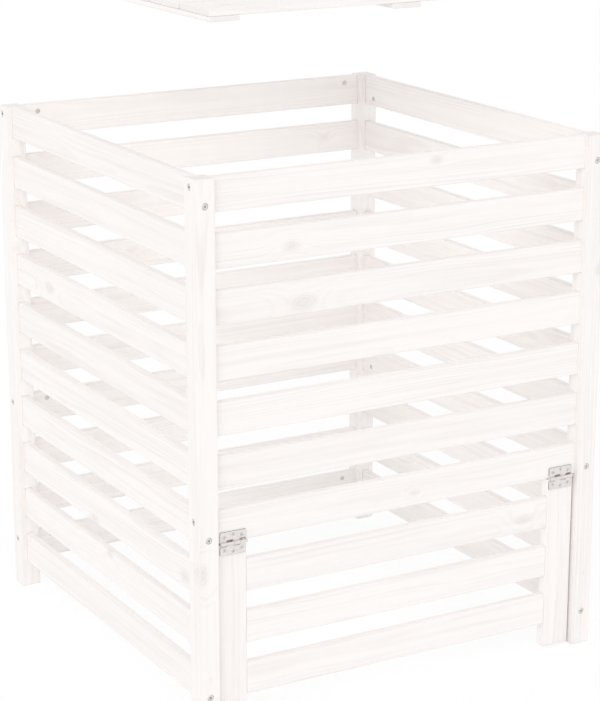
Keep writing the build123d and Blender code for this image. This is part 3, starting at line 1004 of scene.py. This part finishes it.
class COMPOSTBIN_OT_lid(bpy.types.Operator):
    """Model the loose lid: planks on battens, with their screws"""

    bl_idname = "compost_bin.lid"
    bl_label = "Lid"

    def execute(self, context):
        wood = context.scene.compost_bin_wood
        lid = context.scene.compost_bin_lid
        low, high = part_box("lid_planks")
        batten_low, batten_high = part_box("lid_battens")
        width = (high.y - low.y - (lid.plank_count - 1) * lid.plank_gap) / lid.plank_count
        pitch = width + lid.plank_gap
        spacing = (batten_high.x - batten_low.x - lid.batten_width) / (lid.batten_count - 1)

        master = add_block("plank", low, (high.x, low.y + width, high.z))
        round_edges(master, wood.edge_radius)
        planks = []
        for index in range(lid.plank_count):
            plank = copy_board(master, f"plank_{index}", (0, index * pitch, 0))
            mark_grain(plank, f"lid_plank_{index}")
            planks.append(plank)
        bpy.data.objects.remove(master)
        self.place(planks, "lid_planks")

        battens = []
        rows = [low.y + index * pitch + share * width
                for index in range(lid.plank_count) for share in PLANK_SCREWS]
        for index in range(lid.batten_count):
            start = batten_low.x + index * spacing
            middle = start + lid.batten_width / 2
            batten = add_block(f"batten_{index}", (start, batten_low.y, batten_low.z),
                               (start + lid.batten_width, batten_high.y, batten_high.z))
            round_edges(batten, wood.edge_radius)
            cut(batten, [add_countersink((middle, row, batten_low.z), (0, 0, -1), lid.countersink)
                         for row in rows])
            mark_grain(batten, f"lid_batten_{index}")
            battens.append(batten)
        self.place(battens, "lid_battens")
        dress_node("lid_screws", nut_steel())
        return {"FINISHED"}

    def place(self, boards, node):
        """Boards of one node become one piece"""
        place_board(rename(join(boards), node + "_boards"), node, "lid")


class COMPOSTBIN_OT_stage(bpy.types.Operator):
    """Set up the floor, the light and the camera"""

    bl_idname = "compost_bin.stage"
    bl_label = "Stage"

    def execute(self, context):
        stage = context.scene.compost_bin_stage
        context.scene.view_settings.view_transform = "Standard"
        self.floor(stage)
        self.sky(stage)
        self.lamps(stage)
        self.camera(stage)
        return {"FINISHED"}

    def floor(self, stage):
        """A pale floor that keeps the object's shadow"""
        bpy.ops.object.select_all(action="DESELECT")
        bpy.ops.mesh.primitive_circle_add(vertices=FLOOR_SIDES, radius=stage.floor_radius,
                                          fill_type="NGON")
        floor = bpy.context.object
        floor.name = "floor"
        material, tree, shader = new_material("pale_floor")
        shader.inputs["Base Color"].default_value = (*stage.floor_colour, 1.0)
        shader.inputs["Roughness"].default_value = FLOOR_ROUGHNESS
        shader.inputs["Specular IOR Level"].default_value = 0.0
        seen = sums(tree, "MULTIPLY", self.seen_straight(tree), stage.white_share)
        white = add_node(tree, "ShaderNodeEmission",
                         {"Color": (1, 1, 1, 1), "Strength": stage.white_level})
        mixed = add_node(tree, "ShaderNodeMixShader",
                         {0: seen, 1: shader.outputs["BSDF"], 2: white.outputs["Emission"]})
        tree.links.new(mixed.outputs[0], tree.nodes["Material Output"].inputs["Surface"])
        floor.data.materials.append(material)

    def sky(self, stage):
        """Even light from all sides, white where it is seen"""
        world = bpy.data.worlds.new("even_sky")
        world.use_nodes = True
        bpy.context.scene.world = world
        tree = world.node_tree
        sky = tree.nodes["Background"]
        sky.inputs["Color"].default_value = (1, 1, 1, 1)
        level = add_node(tree, "ShaderNodeMapRange", {
            "Value": self.seen_straight(tree), "To Min": stage.sky_level, "To Max": 1.0})
        tree.links.new(level.outputs[0], sky.inputs["Strength"])

    def lamps(self, stage):
        """A soft lamp from the front left, and two inside the bin"""
        bpy.ops.object.light_add(type="SUN")
        lamp = bpy.context.object
        lamp.name = "soft_lamp"
        lamp.data.energy = stage.lamp_level
        lamp.data.angle = stage.lamp_width
        lamp.rotation_euler = Vector(stage.lamp_place).to_track_quat("Z", "Y").to_euler()
        for name, height in zip(("lower_inner_lamp", "upper_inner_lamp"), stage.inner_heights):
            bpy.ops.object.light_add(type="POINT", radius=stage.inner_radius,
                                     location=(-stage.inner_shift, -stage.inner_shift, height))
            lamp = bpy.context.object
            lamp.name = name
            lamp.data.energy = stage.inner_level
            lamp.data.color = stage.inner_colour
            lamp.visible_camera = False
            lamp.visible_glossy = False

    def camera(self, stage):
        """A camera to the front left of the bin, above its rim"""
        turn = (math.pi / 2 - stage.camera_tilt, 0, -stage.camera_turn)
        bpy.ops.object.camera_add(location=stage.camera_place, rotation=turn)
        camera = bpy.context.object
        camera.data.lens = stage.camera_lens
        camera.data.sensor_width = SENSOR_WIDTH
        camera.data.sensor_fit = "AUTO"
        bpy.context.scene.camera = camera

    def seen_straight(self, tree):
        """One where the camera, a gloss or a clear surface sees the stage"""
        path = add_node(tree, "ShaderNodeLightPath")
        seen = sums(tree, "ADD", path.outputs["Is Camera Ray"], path.outputs["Is Glossy Ray"])
        return sums(tree, "ADD", seen, path.outputs["Is Transmission Ray"], clamp=True)


class COMPOSTBIN_PT_build(bpy.types.Panel):
    """Lists the steps of the build and its settings"""

    bl_idname = "COMPOSTBIN_PT_build"
    bl_label = "Compost bin"
    bl_space_type = "VIEW_3D"
    bl_region_type = "UI"
    bl_category = "Compost bin"

    def draw(self, context):
        for step in STEPS:
            self.layout.operator(step.bl_idname)
        for name, group in SETTINGS.items():
            box = self.layout.box()
            for prop in group.__annotations__:
                box.prop(getattr(context.scene, name), prop)


STEPS = (COMPOSTBIN_OT_posts, COMPOSTBIN_OT_wall_slats, COMPOSTBIN_OT_flap, COMPOSTBIN_OT_hinges,
         COMPOSTBIN_OT_bolts, COMPOSTBIN_OT_lid, COMPOSTBIN_OT_stage)
SETTINGS = {
    "compost_bin_wood": COMPOSTBIN_PG_wood,
    "compost_bin_fittings": COMPOSTBIN_PG_fittings,
    "compost_bin_hinges": COMPOSTBIN_PG_hinges,
    "compost_bin_lid": COMPOSTBIN_PG_lid,
    "compost_bin_stage": COMPOSTBIN_PG_stage,
}
CLASSES = (*SETTINGS.values(), *STEPS, COMPOSTBIN_PT_build)


def register():
    for each in CLASSES:
        bpy.utils.register_class(each)
    for name, group in SETTINGS.items():
        setattr(bpy.types.Scene, name, PointerProperty(type=group))


def unregister():
    for name in SETTINGS:
        delattr(bpy.types.Scene, name)
    for each in reversed(CLASSES):
        bpy.utils.unregister_class(each)


def main():
    register()
    bpy.ops.compost_bin.posts()
    bpy.ops.compost_bin.wall_slats()
    bpy.ops.compost_bin.flap()
    bpy.ops.compost_bin.hinges()
    bpy.ops.compost_bin.bolts()
    bpy.ops.compost_bin.lid()
    bpy.ops.compost_bin.stage()


if __name__ == "__main__":
    main()
